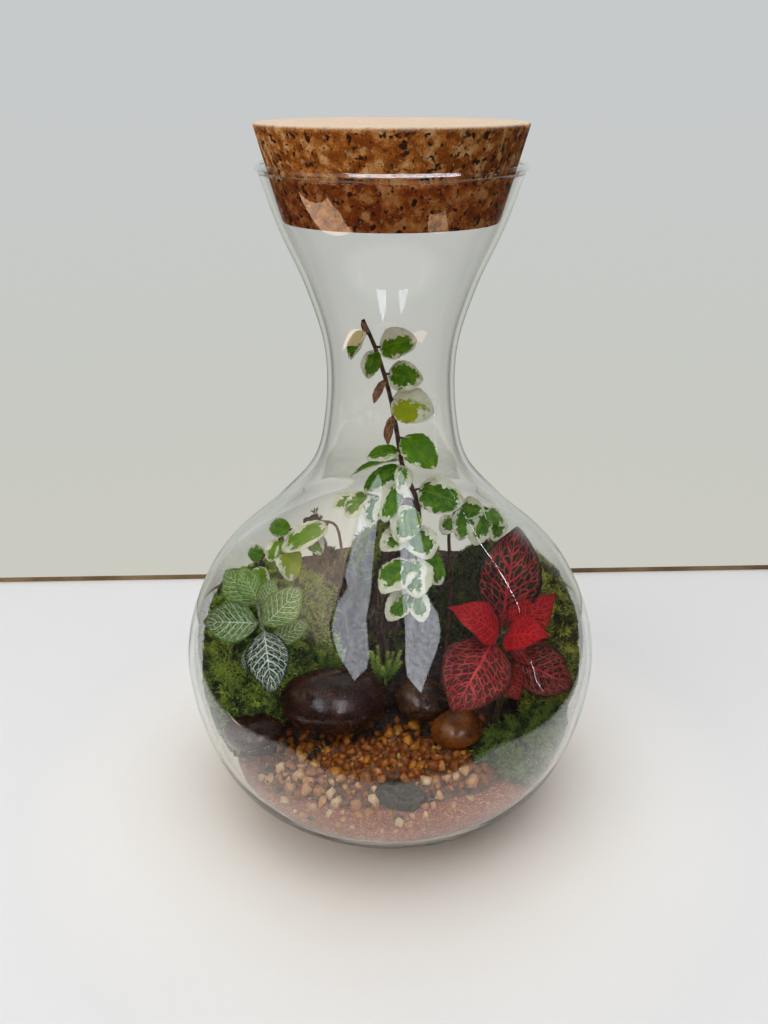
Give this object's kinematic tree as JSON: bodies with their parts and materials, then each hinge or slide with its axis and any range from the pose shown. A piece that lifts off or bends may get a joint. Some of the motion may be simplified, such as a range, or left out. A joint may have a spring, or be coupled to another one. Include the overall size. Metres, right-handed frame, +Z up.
{
  "type": "glass plant terrarium",
  "caption": "Carafe-shaped glass flask closed with a wide cork, planted with net-leaf plants and creeping fig over sand, gravel, soil, moss and stones.",
  "frame": {"origin": "middle of the flask's foot, on the surface it stands on", "axes": "+Z up along the flask's axis; the planting's front faces -Y, +X is to the right seen from the front"},
  "size_m": [0.18, 0.18, 0.2884],
  "materials": {
    "glass": "clear blown, fire-polished rim",
    "cork": "agglomerated cork, sanded",
    "sand": "loose pink sand",
    "soil": "damp potting soil",
    "gravel": "quartz gravel",
    "moss": "living cushion moss",
    "stone_dark": "polished dark stone",
    "stone_brown": "polished brown stone",
    "stone_amber": "polished amber stone",
    "slate": "split slate",
    "driftwood": "weathered",
    "fig_leaf": "green leaf with a cream margin",
    "net_leaf_red": "dark leaf netted with red veins",
    "net_leaf_white": "green leaf netted with white veins",
    "sprig": "fresh green club moss"
  },
  "bodies": {
    "root": {"glass_flask": "glass", "cork_stopper": "cork", "sand_bed": "sand", "soil_mound": "soil", "gravel_heap": "gravel", "moss_left": "moss", "moss_back": "moss", "moss_right": "moss", "moss_front": "moss", "stone_large": "stone_dark", "stone_flat": "stone_dark", "stone_mid": "stone_brown", "stone_amber": "stone_amber", "slate_chip": "slate", "driftwood": "driftwood", "fig_centre": "fig_leaf", "fig_left": "fig_leaf", "fig_right": "fig_leaf", "fittonia_red": "net_leaf_red", "fittonia_white": "net_leaf_white", "sprig_left": "sprig", "sprig_centre": "sprig"}
  },
  "joints": []
}
